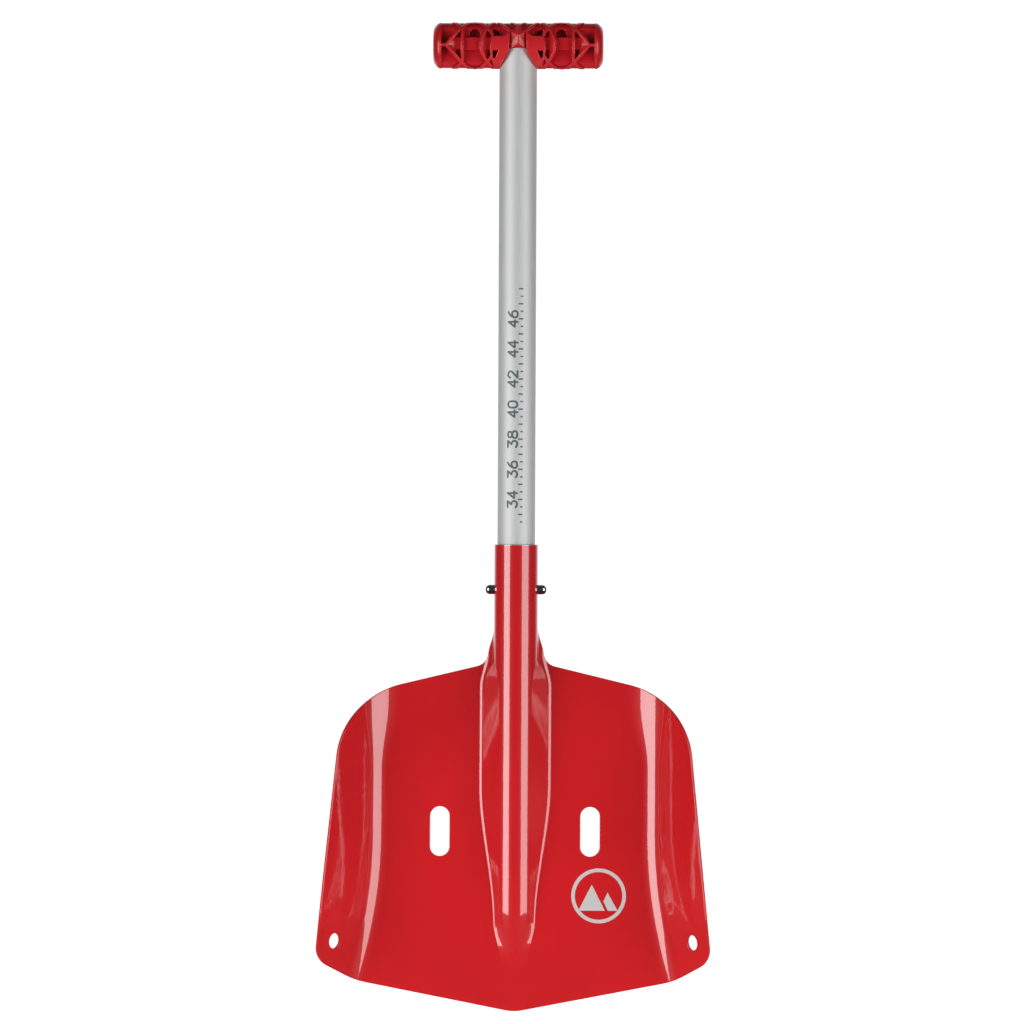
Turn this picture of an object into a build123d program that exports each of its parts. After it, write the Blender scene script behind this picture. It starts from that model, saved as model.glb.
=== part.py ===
from build123d import *
import os
from math import atan2, cos, radians, sin, sqrt, tan

os.makedirs("parts", exist_ok=True)

# Avalanche shovel, millimetres. +Z runs up the shaft, +X to the right, and the hollow of the
# scoop faces -Y. The origin is the bottom centre of the whole shovel's box.
AXIS_Y = 14.8  # the shaft's axis lies this far behind the middle of the box

# Shaft tube
SHAFT_R = 12.5
SHAFT_WALL = 1.5
SHAFT_BOTTOM = 246.0

# Blade: one pressed sheet with a rolled socket
SHEET = 1.8
SOCKET_WALL = 2.0  # the rolled socket is a little thicker than the drawn blade
SOCKET_CLEARANCE = 0.1
SOCKET_IN_R = SHAFT_R + SOCKET_CLEARANCE
SOCKET_OUT_R = SOCKET_IN_R + SOCKET_WALL
SOCKET_BOTTOM = 254.0
SOCKET_TOP = 310.0
BLADE_LEAN = 0.0945  # the panel comes forward by this much per millimetre down
SHOULDER_Z = 232.0
SHOULDER_DEPTH = 8.0  # of the panel behind the shaft's axis at the shoulder
WING_ANGLE = 50.0
WING_BEND_R = 20.0  # twice this at the shoulder, where the bend opens out
WING_BEND_X = 90.5  # the middle of the bend, above WING_FLARE_Z
SHOULDER_BEND_Z, SHOULDER_BEND_RISE = 160.0, 45.0
WING_FLARE_Z = 118.0  # below this the bends spread towards the cutting edge
WING_FLARE = 0.00157
WING_REACH = 145.0  # half width of the sheet before it is trimmed to its outline
RIDGE_R = SOCKET_OUT_R - SOCKET_WALL / 2  # crest of the central ridge, at mid sheet
RIDGE_END_Z = 24.0
RIDGE_NOSE = 44.0  # height over which the crest rises out of the panel
RIDGE_FORWARD = 2.2  # how far the crest leans forward below the shoulder
RIDGE_HALF, RIDGE_LOW_HALF, RIDGE_NOSE_HALF = 25.0, 14.5, 8.0  # half widths down the ridge
RIDGE_FILLET, RIDGE_LOW_FILLET = 6.0, 3.6
FLANK_Z, FLANK_TOP = 215.0, 238.0  # the flanks stand up to vertical between these
SLOT_X, SLOT_Z, SLOT_WIDTH, SLOT_HEIGHT = 50.0, 119.0, 12.7, 33.0
CORNER_HOLE_X, CORNER_HOLE_Z, CORNER_HOLE_R = 119.0, 47.0, 5.0

# Snap buttons and their spring
BUTTON_Z = 280.0
BUTTON_R = 3.15
BUTTON_TIP = SOCKET_OUT_R + 5.75
BUTTON_HOLE_R = 3.4
SPRING_T, SPRING_WIDTH = 0.8, 8.0
SPRING_X = 9.5  # middle of the spring's arm, beside the button
RIVET_R = 1.5

# Grip
GRIP_Z = 642.0
GRIP_R = 15.65
GRIP_HALF = 56.5
GRIP_BAND = 5.2
RIB = 1.9
SHAFT_TOP = GRIP_Z + 6.4
PIN_R = 2.0
PIN_Z = GRIP_Z + 1.5

AXIS_POINT = (0, AXIS_Y, 0)
GRIP_CENTRE = (0, AXIS_Y, GRIP_Z)
front = Plane(origin=AXIS_POINT, x_dir=(1, 0, 0), z_dir=(0, -1, 0))
grip_front = Plane(origin=GRIP_CENTRE, x_dir=(1, 0, 0), z_dir=(0, -1, 0))
grip_side = Plane(origin=GRIP_CENTRE, x_dir=(0, 1, 0), z_dir=(1, 0, 0))
button_side = Plane(origin=(0, AXIS_Y, BUTTON_Z), x_dir=(0, 1, 0), z_dir=(1, 0, 0))


# Form of the pressed sheet, measured at the middle of its thickness


def eased(t):
    """0 to 1 with a level start and end."""
    t = min(max(t, 0.0), 1.0)
    return t * t * (3 - 2 * t)


def panel_y(z):
    """Depth of the flat panel at height z."""
    return AXIS_Y + SHOULDER_DEPTH - BLADE_LEAN * (SHOULDER_Z - z)


def ridge_height(z):
    """How far the crest of the ridge stands in front of the panel."""
    full = panel_y(z) - (AXIS_Y - RIDGE_R) + RIDGE_FORWARD * eased((205 - z) / 80)
    return full * eased((z - RIDGE_END_Z) / RIDGE_NOSE)


def ridge_runs(z):
    """Half of the ridge's section as (length, curvature) runs: crest, straight flank, fillet."""
    height = ridge_height(z)
    upright = eased((z - FLANK_Z) / (FLANK_TOP - FLANK_Z))
    low = RIDGE_HALF - RIDGE_LOW_HALF
    nose = RIDGE_LOW_HALF - RIDGE_NOSE_HALF
    foot = RIDGE_HALF - low * eased((150 - z) / 95) - nose * eased((60 - z) / 34)
    fillet_r = RIDGE_LOW_FILLET + (RIDGE_FILLET - RIDGE_LOW_FILLET) * eased((z - 50) / 80)
    foot += (height - foot) * upright
    fillet_r += (height - RIDGE_R - fillet_r) * upright
    reach = RIDGE_R + fillet_r
    flank = sqrt(max(foot**2 + height**2 - 2 * height * reach, 0.0))
    turn = atan2(height - reach, foot) - atan2(-reach, flank)
    return [(RIDGE_R * turn, 1 / RIDGE_R), (flank, 0.0), (fillet_r * turn, -1 / fillet_r)]


def along(runs, distance):
    """Point at a distance along the runs, as (x, drop) from their start."""
    x, drop, heading = 0.0, 0.0, 0.0
    for length, curvature in runs:
        step = min(distance, length)
        if curvature:
            after = heading + curvature * step
            x += (sin(after) - sin(heading)) / curvature
            drop += (cos(heading) - cos(after)) / curvature
            heading = after
        else:
            x += step * cos(heading)
            drop += step * sin(heading)
        distance -= step
    return x, drop


def ridge_points(z):
    """Half of the ridge's section at height z, as (x, height) from the crest outwards."""
    runs, height, steps = ridge_runs(z), ridge_height(z), 14
    total = sum(length for length, _ in runs)
    line = [along(runs, total * k / steps) for k in range(steps + 1)]
    return [(x, height - drop) for x, drop in line]


def bend_x(z):
    """Where the wing's bend is centred at height z."""
    drop = max(WING_FLARE_Z - z, 0.0)
    return WING_BEND_X + WING_FLARE * drop**2 - 3 * eased((z - SHOULDER_BEND_Z) / SHOULDER_BEND_RISE)


def bend_r(z):
    """Radius of the wing's bend at height z."""
    return WING_BEND_R * (1 + eased((z - SHOULDER_BEND_Z) / SHOULDER_BEND_RISE))


def half_section(z):
    """Half of the sheet's middle line at height z, as (x, y) from the crest to the wing's edge."""
    angle, radius = radians(WING_ANGLE), bend_r(z)
    points = [(x, panel_y(z) - h) for x, h in ridge_points(z)]
    start = bend_x(z) - radius * sin(angle) / 2
    last = points[-1][0]
    points += [(last + (start - last) * k / 5, panel_y(z)) for k in range(1, 6)]
    for k in range(1, 6):
        a = angle * k / 5
        points.append((start + radius * sin(a), panel_y(z) - radius * (1 - cos(a))))
    x0, y0 = points[-1]
    for k in range(1, 4):
        out = (WING_REACH - x0) * k / 3
        points.append((x0 + out, y0 - out * tan(angle)))
    return points


def shifted(points, distance):
    """The line moved sideways by distance, towards +Y where the line runs towards +X."""
    moved = []
    for k, (x, y) in enumerate(points):
        ax, ay = points[max(k - 1, 0)]
        bx, by = points[min(k + 1, len(points) - 1)]
        length = sqrt((bx - ax) ** 2 + (by - ay) ** 2)
        moved.append((x - distance * (by - ay) / length, y + distance * (bx - ax) / length))
    return moved


def wing_frame(side):
    """Plane on the wing's middle surface at the corner hole, its normal outwards and back."""
    angle = radians(WING_ANGLE)
    line = half_section(CORNER_HOLE_Z)
    (x0, y0), (x1, y1) = line[-2], line[-1]
    y = y0 + (y1 - y0) * (CORNER_HOLE_X - x0) / (x1 - x0)
    return Plane(
        origin=(side * CORNER_HOLE_X, y, CORNER_HOLE_Z),
        x_dir=(0, 0, 1),
        z_dir=(side * sin(angle), cos(angle), 0),
    )


# Blade

SECTION_HEIGHTS = [-6, 12, 26, 32, 38, 44, 50, 57, 64, 72, 82, 94, 108, 124, 140]
SECTION_HEIGHTS += [160, 174, 190, 205, 215, 222, 230, 238, 254, 270]
TIP, CREASE, CORNER, SHOULDER = (0, -0.6), (106, 19.9), (131.3, 35), (114.4, 207.6)
NECK, THROAT = (19.5, 230.3), (15.3, SOCKET_BOTTOM)
TIP_R, CREASE_R, CORNER_R, SHOULDER_R, NECK_R = 30, 40, 14, 53.6, 10
right_edge = [THROAT, NECK, SHOULDER, CORNER, CREASE]
left_edge = [(-x, z) for x, z in reversed(right_edge)]
right_radii = [NECK_R, SHOULDER_R, CORNER_R, CREASE_R]
corner_radii = right_radii + [TIP_R] + right_radii[::-1]

with BuildPart() as blade:
    for height in SECTION_HEIGHTS:
        with BuildSketch(Plane.XY.offset(height)):
            with BuildLine():
                half = half_section(height)
                middle = [(-x, y) for x, y in reversed(half[1:])] + half
                near = Spline(*shifted(middle, -SHEET / 2))
                far = Spline(*shifted(middle, SHEET / 2))
                Line(near @ 0, far @ 0)
                Line(near @ 1, far @ 1)
            make_face()
    loft(ruled=True)
    with BuildSketch(Plane.XZ):
        with BuildLine():
            FilletPolyline(*right_edge, TIP, *left_edge, radius=corner_radii)
            Line(left_edge[-1], THROAT)
        make_face()
    extrude(amount=100, both=True, mode=Mode.INTERSECT)
    # Rolled socket, open at the back where the sheet's edges have not met yet
    with BuildSketch(Plane(origin=(0, AXIS_Y, SOCKET_BOTTOM))):
        Circle(SOCKET_OUT_R)
        Circle(SOCKET_IN_R, mode=Mode.SUBTRACT)
    extrude(amount=SOCKET_TOP - SOCKET_BOTTOM)
    with BuildSketch(front):
        with Locations((0, SOCKET_BOTTOM)):
            Ellipse(SOCKET_IN_R - 0.1, 17)
    extrude(amount=-30, mode=Mode.SUBTRACT)
    with Locations(button_side):
        Cylinder(BUTTON_HOLE_R, 80, mode=Mode.SUBTRACT)
    # Slots for a strap and the two corner holes
    with BuildSketch(Plane.XZ):
        with Locations((SLOT_X, SLOT_Z), (-SLOT_X, SLOT_Z)):
            SlotOverall(SLOT_HEIGHT, SLOT_WIDTH, rotation=90)
    extrude(amount=60, both=True, mode=Mode.SUBTRACT)
    with Locations(wing_frame(1), wing_frame(-1)):
        Cylinder(CORNER_HOLE_R, 16, mode=Mode.SUBTRACT)
blade.part.label = "blade"
export_step(blade.part, "parts/blade.step")


# Shaft tube

with BuildPart() as shaft_tube:
    with BuildSketch(Plane(origin=(0, AXIS_Y, SHAFT_BOTTOM))):
        Circle(SHAFT_R)
        Circle(SHAFT_R - SHAFT_WALL, mode=Mode.SUBTRACT)
    extrude(amount=SHAFT_TOP - SHAFT_BOTTOM)
    with Locations(button_side):
        Cylinder(BUTTON_HOLE_R, 60, mode=Mode.SUBTRACT)
    with Locations(Plane(origin=(0, AXIS_Y, PIN_Z), z_dir=(0, 1, 0))):
        Cylinder(PIN_R + 0.05, 60, mode=Mode.SUBTRACT)
shaft_tube.part.label = "shaft_tube"
export_step(shaft_tube.part, "parts/shaft_tube.step")


# Plug that closes the lower end of the shaft

PLUG_FLANGE, PLUG_DEPTH, PLUG_WALL = 2.0, 12.0, 2.0
with BuildPart() as shaft_end_plug:
    with BuildSketch(Plane(origin=(0, AXIS_Y, SHAFT_BOTTOM - PLUG_FLANGE))):
        Circle(SHAFT_R - 0.1)
    extrude(amount=PLUG_FLANGE)
    fillet(shaft_end_plug.edges().sort_by(Axis.Z)[0], radius=1.0)
    with BuildSketch(Plane(origin=(0, AXIS_Y, SHAFT_BOTTOM))):
        Circle(SHAFT_R - SHAFT_WALL - 0.05)
        Circle(SHAFT_R - SHAFT_WALL - PLUG_WALL, mode=Mode.SUBTRACT)
    extrude(amount=PLUG_DEPTH)
shaft_end_plug.part.label = "shaft_end_plug"
export_step(shaft_end_plug.part, "parts/shaft_end_plug.step")


# V-shaped leaf spring that carries the buttons

ARM_BOTTOM, ARM_TOP, BEND_Z, BEND_X = BUTTON_Z - 8, BUTTON_Z + 8, 332.0, 3.2
arm = [(SPRING_X, ARM_BOTTOM), (SPRING_X, ARM_TOP), (BEND_X, BEND_Z)]
with BuildPart() as snap_spring:
    with BuildSketch(front):
        with BuildLine():
            right_arm = FilletPolyline(*arm, radius=12)
            mirror(right_arm, about=Plane.YZ)
            ThreePointArc(arm[-1], (0, BEND_Z + BEND_X), (-BEND_X, BEND_Z))
        trace(line_width=SPRING_T)
    extrude(amount=SPRING_WIDTH / 2, both=True)
    with Locations(button_side):
        Cylinder(RIVET_R + 0.1, 40, mode=Mode.SUBTRACT)
snap_spring.part.label = "snap_spring"
export_step(snap_spring.part, "parts/snap_spring.step")


# Snap buttons, each riveted to its arm of the spring

SEAT = SPRING_X + SPRING_T / 2 + 0.1
TAIL = SPRING_X - SPRING_T / 2 - 0.1
DOME_START = BUTTON_TIP - 2.9


def snap_button(name, side):
    """A domed stud on the side's half of the shaft, with its riveted tail inside the spring."""
    with BuildPart() as stud:
        with BuildSketch(Plane(origin=(0, AXIS_Y, BUTTON_Z), x_dir=(side, 0, 0), z_dir=(0, -side, 0))):
            with BuildLine():
                Polyline(
                    (TAIL - 0.7, 0),
                    (TAIL - 0.7, 2.2),
                    (TAIL, 2.2),
                    (TAIL, RIVET_R),
                    (SEAT, RIVET_R),
                    (SEAT, BUTTON_R),
                    (DOME_START, BUTTON_R),
                )
                EllipticalCenterArc((DOME_START, 0), BUTTON_TIP - DOME_START, BUTTON_R, arc_size=90)
                Line((BUTTON_TIP, 0), (TAIL - 0.7, 0))
            make_face()
        revolve(axis=Axis((0, AXIS_Y, BUTTON_Z), (1, 0, 0)))
    stud.part.label = name
    export_step(stud.part, f"parts/{name}.step")
    return stud


button_right = snap_button("button_right", 1)
button_left = snap_button("button_left", -1)


# T-grip: ribbed moulding with a middle web, a core bar and a hub round the shaft's top

RIB_TOP = GRIP_R + 1.0  # ribs are drawn past the barrel that trims them
WEB_T, CORE_T, CORE_HALF, CORE_RISE = 5.0, 18.0, 4.2, 1.0
CROSSING_OUT, CROSSING_IN, CROSSING_Z = 37.5, 20.3, 11.3
ARCH_TOP = (28.9, GRIP_R - 1)
ARROW_TIP, ARCH_FOOT = (47.6, 0), (16.6, 6.4)
OUTER_BOW, INNER_BOW = (37.0, 0), (24.7, 0)  # upright ribs, bowed between their crossings
OUTER_END, INNER_END = (43.7, RIB_TOP), (15.4, RIB_TOP)
BROW, BROW_END = (4.4, 8.8), (14.0, RIB_TOP)
HUB = [(-17, 6.9), (-4.9, 9.4), (4.9, 9.4), (17, 6.9), (18.6, -5), (15.6, -17), (-15.6, -17), (-18.6, -5)]
NOTCH = [(-4.8, -1.7), (4.8, -1.7), (13.4, -17), (-13.4, -17)]
POCKET = [(12.9, -4.2), (17.0, -4.2), (16.6, -9.6), (15.6, -11.8)]
BARREL_EDGE = [(GRIP_HALF - 5, GRIP_R - 0.1), (GRIP_HALF - 1.6, GRIP_R - 0.5), (GRIP_HALF, GRIP_R - 2.4)]
HUB_FOOT = 30.0  # the hub's bore and notch start this far below the grip's axis


def placed(point, side, up=1):
    """The point on one side of the grip, above or below its axis."""
    return (side * point[0], up * point[1])


with BuildPart() as grip:
    # Ribs, which all run straight through the moulding from front to back
    with BuildSketch(grip_front):
        with BuildLine():
            for side in (1, -1):
                for up in (1, -1):
                    outer = placed((CROSSING_OUT, CROSSING_Z), side, up)
                    inner = placed((CROSSING_IN, CROSSING_Z), side, up)
                    arch = [placed(ARROW_TIP, side), outer, placed(ARCH_TOP, side, up), inner]
                    Spline(*arch, placed(ARCH_FOOT, side, up))
                    Spline(placed(OUTER_BOW, side), outer, placed(OUTER_END, side, up))
                    Spline(placed(INNER_BOW, side), inner, placed(INNER_END, side, up))
                Line(placed(BROW, side), placed(BROW_END, side))
                Polyline((side * 5.4, RIB_TOP), (0, 12.2), (side * -4.6, 8.2))
                Line((side * 46.5, 0), (side * 52.5, 0))
        trace(line_width=RIB)
    extrude(amount=RIB_TOP, both=True)
    with BuildSketch(grip_front):
        Polygon(*HUB, align=None)
    extrude(amount=RIB_TOP, both=True)
    with Locations(GRIP_CENTRE):
        Box(2 * GRIP_HALF - GRIP_BAND, WEB_T, 2 * GRIP_R - 3)
        with Locations((0, 0, CORE_RISE)):
            Box(2 * GRIP_HALF - GRIP_BAND, CORE_T, 2 * CORE_HALF)
    band = GRIP_HALF - GRIP_BAND / 2
    with Locations(grip_side.offset(band), grip_side.offset(-band)):
        Cylinder(GRIP_R, GRIP_BAND)
    # Barrel that trims everything to the hand-sized outline
    with BuildSketch(grip_front):
        with BuildLine():
            right = Spline(*BARREL_EDGE)
            left = Spline(*[placed(corner, -1) for corner in BARREL_EDGE])
            Line(right @ 0, left @ 0)
            Polyline(right @ 1, (GRIP_HALF, 0), (-GRIP_HALF, 0), left @ 1)
        make_face()
    revolve(axis=Axis(GRIP_CENTRE, (1, 0, 0)), mode=Mode.INTERSECT)
    # Bore for the shaft, the notch that shows it, the hub's pockets and the pin's blind hole
    with BuildSketch(Plane(origin=(0, AXIS_Y, GRIP_Z - HUB_FOOT))):
        Circle(SHAFT_R + 0.05)
    extrude(amount=SHAFT_TOP + 0.1 - GRIP_Z + HUB_FOOT, mode=Mode.SUBTRACT)
    with BuildSketch(grip_front):
        Polygon(*NOTCH, align=None)
        Polygon(*[placed(corner, 1) for corner in POCKET], align=None)
        Polygon(*[placed(corner, -1) for corner in POCKET], align=None)
    extrude(amount=HUB_FOOT, both=True, mode=Mode.SUBTRACT)
    pin_front = (0, AXIS_Y - GRIP_R + 1.6, PIN_Z)
    with BuildSketch(Plane(origin=pin_front, x_dir=(1, 0, 0), z_dir=(0, 1, 0))):
        Circle(PIN_R)
    extrude(amount=2 * HUB_FOOT, mode=Mode.SUBTRACT)
grip.part.label = "grip"
export_step(grip.part, "parts/grip.step")


# Slotted spring pin that holds the grip on the shaft

PIN_START, PIN_LENGTH = AXIS_Y - GRIP_R + 1.8, 28.0
with BuildPart() as grip_pin:
    with BuildSketch(Plane(origin=(0, PIN_START, PIN_Z), x_dir=(1, 0, 0), z_dir=(0, 1, 0))):
        Circle(PIN_R - 0.02)
        Circle(PIN_R - 0.7, mode=Mode.SUBTRACT)
        with Locations((0, PIN_R)):
            Rectangle(0.6, 2 * PIN_R, mode=Mode.SUBTRACT)
    extrude(amount=PIN_LENGTH)
grip_pin.part.label = "grip_pin"
export_step(grip_pin.part, "parts/grip_pin.step")
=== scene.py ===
import math
from functools import lru_cache

import bpy
import numpy as np
from mathutils import Matrix, Vector
from mathutils.geometry import delaunay_2d_cdt


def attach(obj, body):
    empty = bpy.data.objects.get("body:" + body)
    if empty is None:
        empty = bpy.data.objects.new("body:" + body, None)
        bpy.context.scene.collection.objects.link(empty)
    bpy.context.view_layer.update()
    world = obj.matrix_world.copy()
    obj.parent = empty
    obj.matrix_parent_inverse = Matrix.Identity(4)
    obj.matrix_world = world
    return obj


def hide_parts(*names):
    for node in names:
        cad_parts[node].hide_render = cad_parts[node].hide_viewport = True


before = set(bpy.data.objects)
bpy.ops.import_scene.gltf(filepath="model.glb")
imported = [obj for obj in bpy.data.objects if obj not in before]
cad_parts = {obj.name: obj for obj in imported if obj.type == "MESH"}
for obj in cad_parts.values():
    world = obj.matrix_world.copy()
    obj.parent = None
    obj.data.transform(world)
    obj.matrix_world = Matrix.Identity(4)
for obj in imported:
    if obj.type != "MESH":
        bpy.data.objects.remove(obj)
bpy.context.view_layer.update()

# Avalanche shovel. Shapes are worked out in millimetres in the frame's axes and scaled to metres
# when a mesh is made. +Z runs up the shaft and the hollow of the scoop faces -Y.
MM = 0.001
AXIS_Y = 14.8
SHAFT_R = 12.5

# Pressed sheet. EDGE_R rounds its cut edge, and the socket's mouth is bare down to BARE_RIM.
SHEET, EDGE_R, BARE_RIM = 1.8, 0.5, 0.55
BLADE_LEAN = 0.0945
SHOULDER_Z, SHOULDER_DEPTH = 232.0, 8.0
WING_ANGLE = math.radians(50)
WING_BEND_R = 20.0
WING_BEND_X, WING_FLARE_Z, WING_FLARE = 90.5, 118.0, 0.00157
SHOULDER_BEND_Z, SHOULDER_BEND_RISE = 160.0, 45.0
RIDGE_R = 13.6
RIDGE_END_Z, RIDGE_NOSE, RIDGE_FORWARD = 24.0, 44.0, 2.2
RIDGE_HALF, RIDGE_LOW_HALF, RIDGE_NOSE_HALF = 25.0, 14.5, 8.0
RIDGE_FILLET, RIDGE_LOW_FILLET = 6.0, 3.6
FLANK_Z, FLANK_TOP = 215.0, 238.0
THROAT_Z, SOCKET_TOP, OPENING_HALF, OPENING_RISE = 254.0, 310.0, 12.5, 17.0
FLARE_TOP, FLARE_LENGTH = 240.0, 28.0
SEAM = 0.2
BUTTON_Z, BUTTON_HOLE_R = 280.0, 3.4

# Right half of the scoop's outline seen from the front, as (x, z), and the radius of each corner
NECK, ELBOW, SHOULDER = (15.3, THROAT_Z), (19.5, 230.3), (113.9, 207.6)
CORNER, CREASE = (130.8, 35.0), (106.0, 19.95)
ELBOW_R, SHOULDER_R, CORNER_R, CREASE_R = 10, 53.6, 14, 40
TIP_Z, TIP_R = -0.55, 30
SLOT_X, SLOT_R, SLOT_LOW, SLOT_HIGH = 50, 6.35, 108.85, 129.15
HOLE_X, HOLE_Z, HOLE_R = 119.0, 47.0, 5.0

# Grip
GRIP_Z, GRIP_R = 642.0, 15.65
# Painted highlight on the grip: its plastic turns lighter from this distance off the axis out to the
# barrel's surface, up to this much of the lighter colour.
PAINTED_HIGHLIGHT_FROM, PAINTED_HIGHLIGHT_MOST = 14.6, 0.75


def eased(t):
    """0 to 1 with a level start and end."""
    t = min(max(t, 0.0), 1.0)
    return t * t * (3 - 2 * t)


# ---------------------------------------------------------------- meshes


def inside(points, loops):
    """Which points lie inside the loops, by the even-odd rule."""
    points = np.asarray(points, float)
    result = np.zeros(len(points), bool)
    for loop in loops:
        a = np.asarray(loop, float)
        for (ax, ay), (bx, by) in zip(a, np.roll(a, -1, axis=0)):
            if ay != by:
                spans = (points[:, 1] >= min(ay, by)) & (points[:, 1] < max(ay, by))
                x = ax + (points[:, 1] - ay) * (bx - ax) / (by - ay)
                result ^= spans & (points[:, 0] < x)
    return result


def away(points, loops, gap):
    """Which points are further than gap from every loop's vertices."""
    edge = np.concatenate([np.asarray(loop, float) for loop in loops])
    keep = []
    for start in range(0, len(points), 400):
        d = points[start:start + 400, None, :] - edge[None, :, :]
        keep.append((d**2).sum(2).min(1) > gap**2)
    return np.concatenate(keep)


def triangulate(loops, inner):
    """Triangles that fill the loops, with the inner points among their corners."""
    corners, edges = [], []
    for loop in loops:
        first, count = len(corners), len(loop)
        corners += [Vector(p) for p in loop]
        edges += [(first + k, first + (k + 1) % count) for k in range(count)]
    corners += [Vector(p) for p in inner]
    made, _, faces, source, _, _ = delaunay_2d_cdt(corners, edges, [], 0, 1e-6)
    made = np.array([tuple(p) for p in made])
    faces = np.array([tuple(f) for f in faces])
    faces = faces[inside(made[faces].mean(1), loops)]
    used = {k: n for n, ks in enumerate(source) for k in ks}
    return made, faces, used


def turned(loop, outwards=True):
    """The loop run anticlockwise, or clockwise."""
    a = np.asarray(loop, float)
    b = np.roll(a, -1, axis=0)
    area = (a[:, 0] * b[:, 1] - b[:, 0] * a[:, 1]).sum()
    return a if (area > 0) == outwards else a[::-1]


def side_normals(loop):
    """Unit normals to the right of the loop at its vertices, with the mitre's length."""
    a = np.asarray(loop, float)
    along = np.roll(a, -1, axis=0) - a
    along /= np.linalg.norm(along, axis=1)[:, None]
    right = np.stack([along[:, 1], -along[:, 0]], axis=1)
    mean = right + np.roll(right, 1, axis=0)
    length = np.linalg.norm(mean, axis=1)[:, None]
    mean = mean / np.maximum(length, 1e-6)
    return mean, np.minimum(2 / np.maximum(length, 1e-6), 1.6)


def slab(loops, inner, front, back, edge_r, steps=3):
    """Closed plate between two surfaces, its rims rounded to edge_r.

    Loops run anticlockwise round the plate and clockwise round its holes. front and back each
    give a point, its outward normal and the direction into the plate.
    """
    mitres = [side_normals(loop) for loop in loops]
    inset = [loop - n * m * edge_r for loop, (n, m) in zip(loops, mitres)]
    inner = np.asarray(inner, float)
    if len(inner):
        inner = inner[inside(inner, inset)]
        inner = inner[away(inner, inset, edge_r + 0.3)]
    flat, triangles, used = triangulate(inset, inner)
    points, normals, faces, rims = [], [], [], []
    for surface in (front, back):
        offset = len(points)
        for p in flat:
            place, normal, _ = surface(*p)
            points.append(place)
            normals.append(normal)
        turn = triangles if surface is front else triangles[:, ::-1]
        faces += [tuple(int(i) + offset for i in t) for t in turn]
    first_back = len(flat)
    start = 0
    for loop, (n, m) in zip(loops, mitres):
        count = len(loop)
        rows = [[used[start + k] for k in range(count)]]
        for surface, order in ((front, range(1, steps + 1)), (back, range(steps, 0, -1))):
            for step in order:
                angle = math.pi / 2 * (1 - step / steps)
                row = []
                for k in range(count):
                    p = loop[k] - n[k] * m[k] * edge_r * (1 - math.cos(angle))
                    place, normal, inwards = surface(*p)
                    nearby = surface(*(p - n[k] * 0.05))[0]
                    out = place - nearby
                    out = out - inwards * out.dot(inwards)
                    out.normalize()
                    row.append(len(points))
                    points.append(place + inwards * edge_r * (1 - math.sin(angle)))
                    normals.append((out * math.cos(angle) + normal * math.sin(angle)).normalized())
                rows.append(row)
        rows.append([used[start + k] + first_back for k in range(count)])
        for upper, lower in zip(rows, rows[1:]):
            for k in range(count):
                j = (k + 1) % count
                rims.append((upper[k], lower[k], lower[j], upper[j]))
        start += count
    return points, normals, faces, rims


def union(solids, cuts, gap=0.9, least=0.2):
    """Outline loops of the solids together, less the cuts, their points least to gap apart."""
    corners, edges = [], []
    for loop in solids + cuts:
        first, count = len(corners), len(loop)
        corners += [Vector(p) for p in loop]
        edges += [(first + k, first + (k + 1) % count) for k in range(count)]
    made, _, faces, _, _, _ = delaunay_2d_cdt(corners, edges, [], 0, 1e-5)
    made = np.array([tuple(p) for p in made])
    faces = np.array([tuple(f) for f in faces])
    centres = made[faces].mean(1)
    keep = np.zeros(len(faces), bool)
    for loop in solids:
        keep |= inside(centres, [loop])
    for loop in cuts:
        keep &= ~inside(centres, [loop])
    sides = set()
    for f in faces[keep]:
        f = [int(i) for i in f]
        sides |= {(f[0], f[1]), (f[1], f[2]), (f[2], f[0])}
    following = {}
    for a, b in sorted(sides):
        if (b, a) not in sides:
            following.setdefault(a, []).append(b)
    loops = []
    while following:
        start = min(following)
        line, here = [start], following[start].pop()
        while here != start:
            line.append(here)
            nexts = following[here]
            before = made[here] - made[line[-2]]
            turns = [
                math.atan2(before[0] * d[1] - before[1] * d[0], before.dot(d))
                for d in (made[n] - made[here] for n in nexts)
            ]
            here = nexts.pop(turns.index(min(turns)))
        following = {k: v for k, v in following.items() if v}
        loops.append(spaced([made[k] for k in line], gap, least))
    return [loop for loop in loops if len(loop) > 5]


def between(a, b, gap):
    """Points from a on the way to b, without b, no further apart than gap."""
    a, b = np.array(a, float), np.array(b, float)
    count = max(math.ceil(np.linalg.norm(b - a) / gap), 1)
    return [a + (b - a) * k / count for k in range(count)]


def spaced(loop, gap, least):
    """The closed loop with no point too near the last one and none further than gap."""
    kept = [loop[0]]
    for p in loop[1:]:
        if np.linalg.norm(p - kept[-1]) > least:
            kept.append(p)
    if np.linalg.norm(kept[-1] - kept[0]) < least:
        kept.pop()
    dense = []
    for a, b in zip(kept, kept[1:] + kept[:1]):
        dense += between(a, b, gap)
    return np.array(dense)


def through(points, steps=8):
    """Smooth line through the points."""
    points = [np.array(p, float) for p in points]
    ends = [2 * points[0] - points[1]] + points + [2 * points[-1] - points[-2]]
    line = []
    for a, b, c, d in zip(ends, ends[1:], ends[2:], ends[3:]):
        square, cube = 2 * a - 5 * b + 4 * c - d, 3 * b - a - 3 * c + d
        for k in range(steps):
            u = k / steps
            line.append(0.5 * (2 * b + (c - a) * u + square * u**2 + cube * u**3))
    return line + [points[-1]]


def ribbon(line, width):
    """Outline of a line drawn this wide."""
    line = [np.array(p, float) for p in line]
    left, right = [], []
    for k, p in enumerate(line):
        along = line[min(k + 1, len(line) - 1)] - line[max(k - 1, 0)]
        side = np.array([along[1], -along[0]]) / np.linalg.norm(along) * width / 2
        right.append(p + side)
        left.append(p - side)
    return [tuple(p) for p in right + left[::-1]]


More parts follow.
